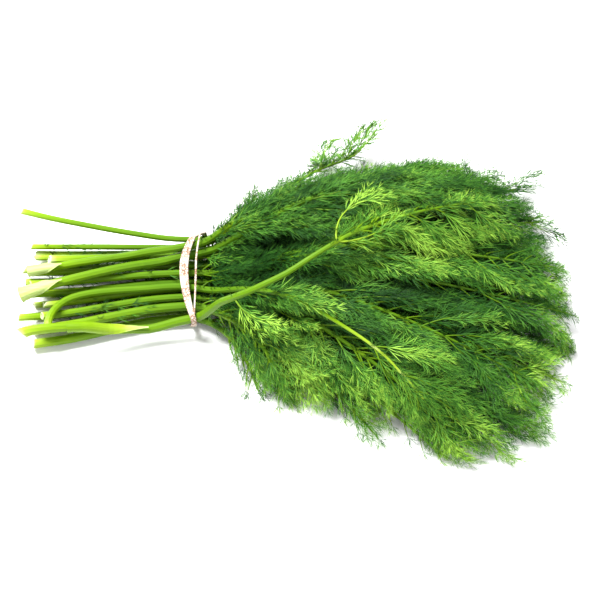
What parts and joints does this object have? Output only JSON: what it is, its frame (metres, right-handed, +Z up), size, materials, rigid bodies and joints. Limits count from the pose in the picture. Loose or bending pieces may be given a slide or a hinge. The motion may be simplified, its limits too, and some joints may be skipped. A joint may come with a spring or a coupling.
{
  "type": "dill bunch",
  "caption": "Bunch of fresh dill lying on its side: cut stems gathered by a rubber band, spreading into a wide, domed fan of feathery leaves.",
  "frame": {"origin": "on the table, under the band, where the band's underside rests", "axes": "+X along the stems from the cut ends to the leaf tips, +Y across the bunch, +Z up from the table"},
  "size_m": [0.3422, 0.2276, 0.0777],
  "materials": {
    "dark_leaf": "satin, deep green leaf and stem",
    "mid_leaf": "satin, mid green leaf and stem",
    "bright_leaf": "satin, fresh yellow-green leaf and stem",
    "pale_rubber": "matt, cream rubber"
  },
  "bodies": {
    "root": {"leafy_stem_01": "bright_leaf", "leafy_stem_02": "bright_leaf", "leafy_stem_03": "dark_leaf", "leafy_stem_04": "mid_leaf", "leafy_stem_05": "dark_leaf", "leafy_stem_06": "mid_leaf", "leafy_stem_07": "dark_leaf", "leafy_stem_08": "mid_leaf", "leafy_stem_09": "bright_leaf", "leafy_stem_10": "bright_leaf", "leafy_stem_11": "dark_leaf", "leafy_stem_12": "bright_leaf", "leafy_stem_13": "mid_leaf", "leafy_stem_14": "mid_leaf", "leafy_stem_15": "mid_leaf", "leafy_stem_16": "mid_leaf", "leafy_stem_17": "mid_leaf", "leafy_stem_18": "dark_leaf", "leafy_stem_19": "dark_leaf", "leafy_stem_20": "bright_leaf", "leafy_stem_21": "bright_leaf", "leafy_stem_22": "dark_leaf", "leafy_stem_23": "dark_leaf", "leafy_stem_24": "bright_leaf", "leafy_stem_25": "bright_leaf", "leafy_stem_26": "bright_leaf", "leafy_stem_27": "bright_leaf", "leafy_stem_28": "bright_leaf", "leafy_stem_29": "bright_leaf", "rubber_band": "pale_rubber"}
  },
  "joints": []
}
